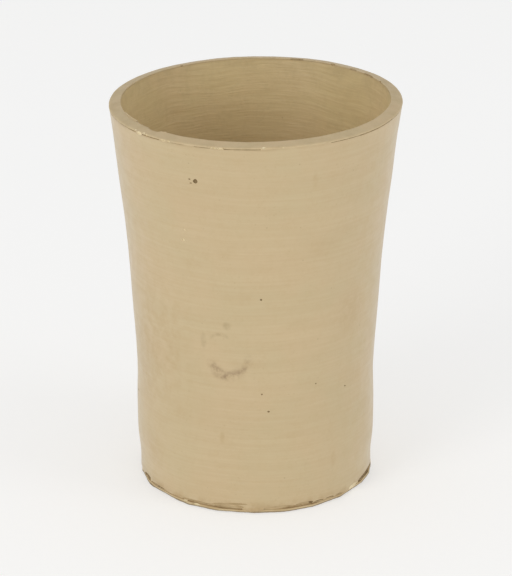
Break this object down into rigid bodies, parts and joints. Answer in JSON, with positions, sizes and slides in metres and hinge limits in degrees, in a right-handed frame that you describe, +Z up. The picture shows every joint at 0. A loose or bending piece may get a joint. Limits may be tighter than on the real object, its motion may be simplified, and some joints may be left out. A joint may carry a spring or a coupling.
{
  "type": "plaster mold",
  "caption": "Tall flared cup-shaped plaster mold, open at the top, with a keyed floor, a thin broken-edged base and brushed sealer coats.",
  "frame": {"origin": "middle of the base, at the level of the face it stands on", "axes": "+Z up along the axis of the round mold, from the base towards the open rim; -Y is the side seen in the reference view"},
  "size_m": [0.13, 0.13, 0.179],
  "materials": {
    "cast_plaster": "matte",
    "base_plaster": "matte",
    "brown_bedding": "satin",
    "outer_sealer": "matte",
    "inner_sealer": "matte",
    "rim_sealer": "matte"
  },
  "bodies": {
    "root": {"plaster_wall": "cast_plaster", "floor_slab": "cast_plaster", "base_disc": "base_plaster", "bedding_layer": "brown_bedding", "outer_coat": "outer_sealer", "inner_coat": "inner_sealer", "rim_coat": "rim_sealer"}
  },
  "joints": []
}
